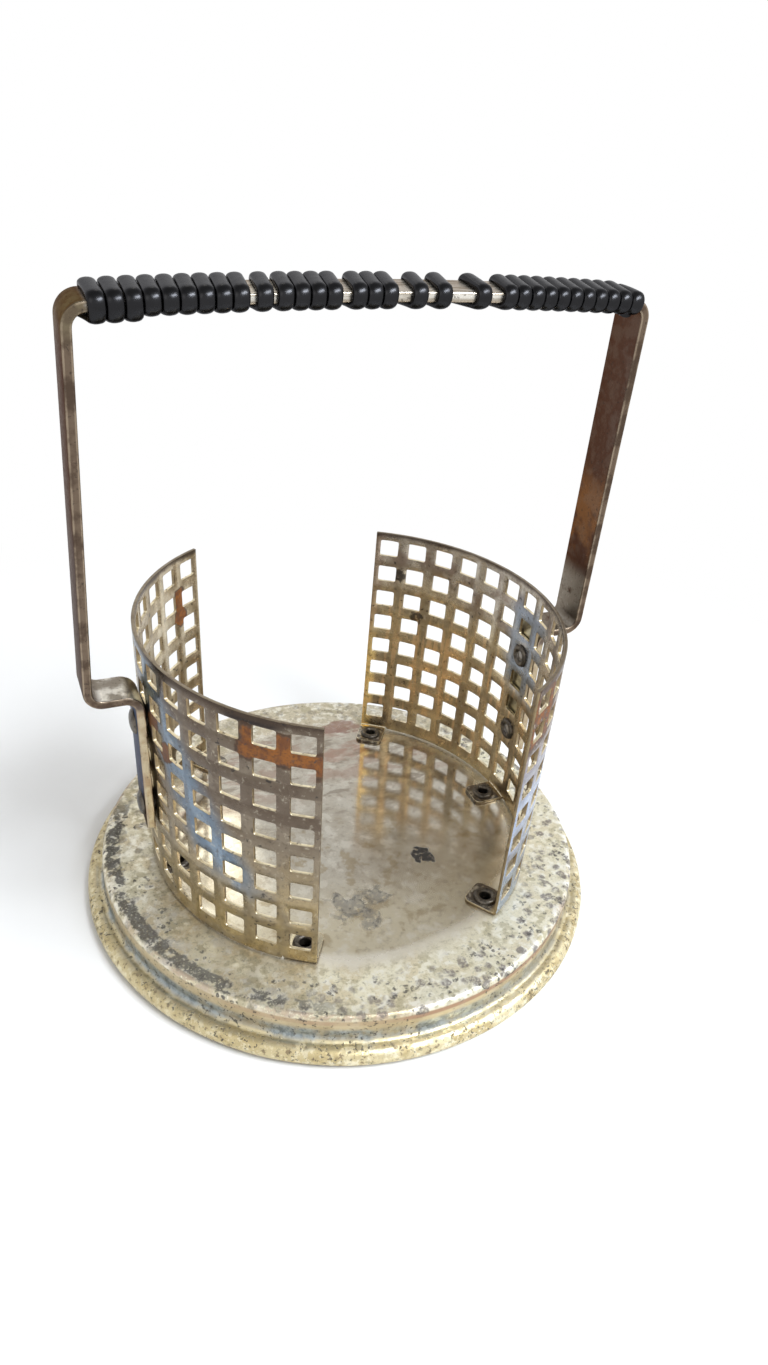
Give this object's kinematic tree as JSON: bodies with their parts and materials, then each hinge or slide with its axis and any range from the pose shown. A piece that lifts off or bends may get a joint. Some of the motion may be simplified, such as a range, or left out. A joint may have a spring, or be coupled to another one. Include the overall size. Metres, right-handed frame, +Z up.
{
  "type": "handled coaster holder",
  "caption": "Round plated steel holder for glass coasters, with two perforated galleries on a rolled-rim dish and a riveted strap handle bound in black cane.",
  "frame": {"origin": "centre of the round dish on the surface that it stands on", "axes": "+Z up; the galleries and the handle's legs stand at -X and +X; -Y is the front, where the gap between the galleries faces the viewer and towards which the handle leans a little"},
  "size_m": [0.131, 0.131, 0.149],
  "materials": {
    "plated_dish": "worn and yellowed silver plate on steel, satin in the middle and pitted towards the rim",
    "gallery_plate": "tarnished silver plate on perforated steel sheet, with a few rust patches",
    "strap_plate": "silver plate tarnished brown, with lighter edges",
    "eyelet_metal": "dark, dull plated steel",
    "black_cane": "glossy black half-round plastic strip"
  },
  "bodies": {
    "root": {"dish": "plated_dish", "gallery_left": "gallery_plate", "gallery_right": "gallery_plate", "handle_strap": "strap_plate", "strap_rivet_left_upper": "eyelet_metal", "strap_rivet_left_lower": "eyelet_metal", "strap_rivet_right_upper": "eyelet_metal", "strap_rivet_right_lower": "eyelet_metal", "base_eyelet_left_front": "eyelet_metal", "base_eyelet_left_middle": "eyelet_metal", "base_eyelet_left_back": "eyelet_metal", "base_eyelet_right_front": "eyelet_metal", "base_eyelet_right_middle": "eyelet_metal", "base_eyelet_right_back": "eyelet_metal", "grip_cane_left": "black_cane", "grip_cane_right": "black_cane"}
  },
  "joints": []
}
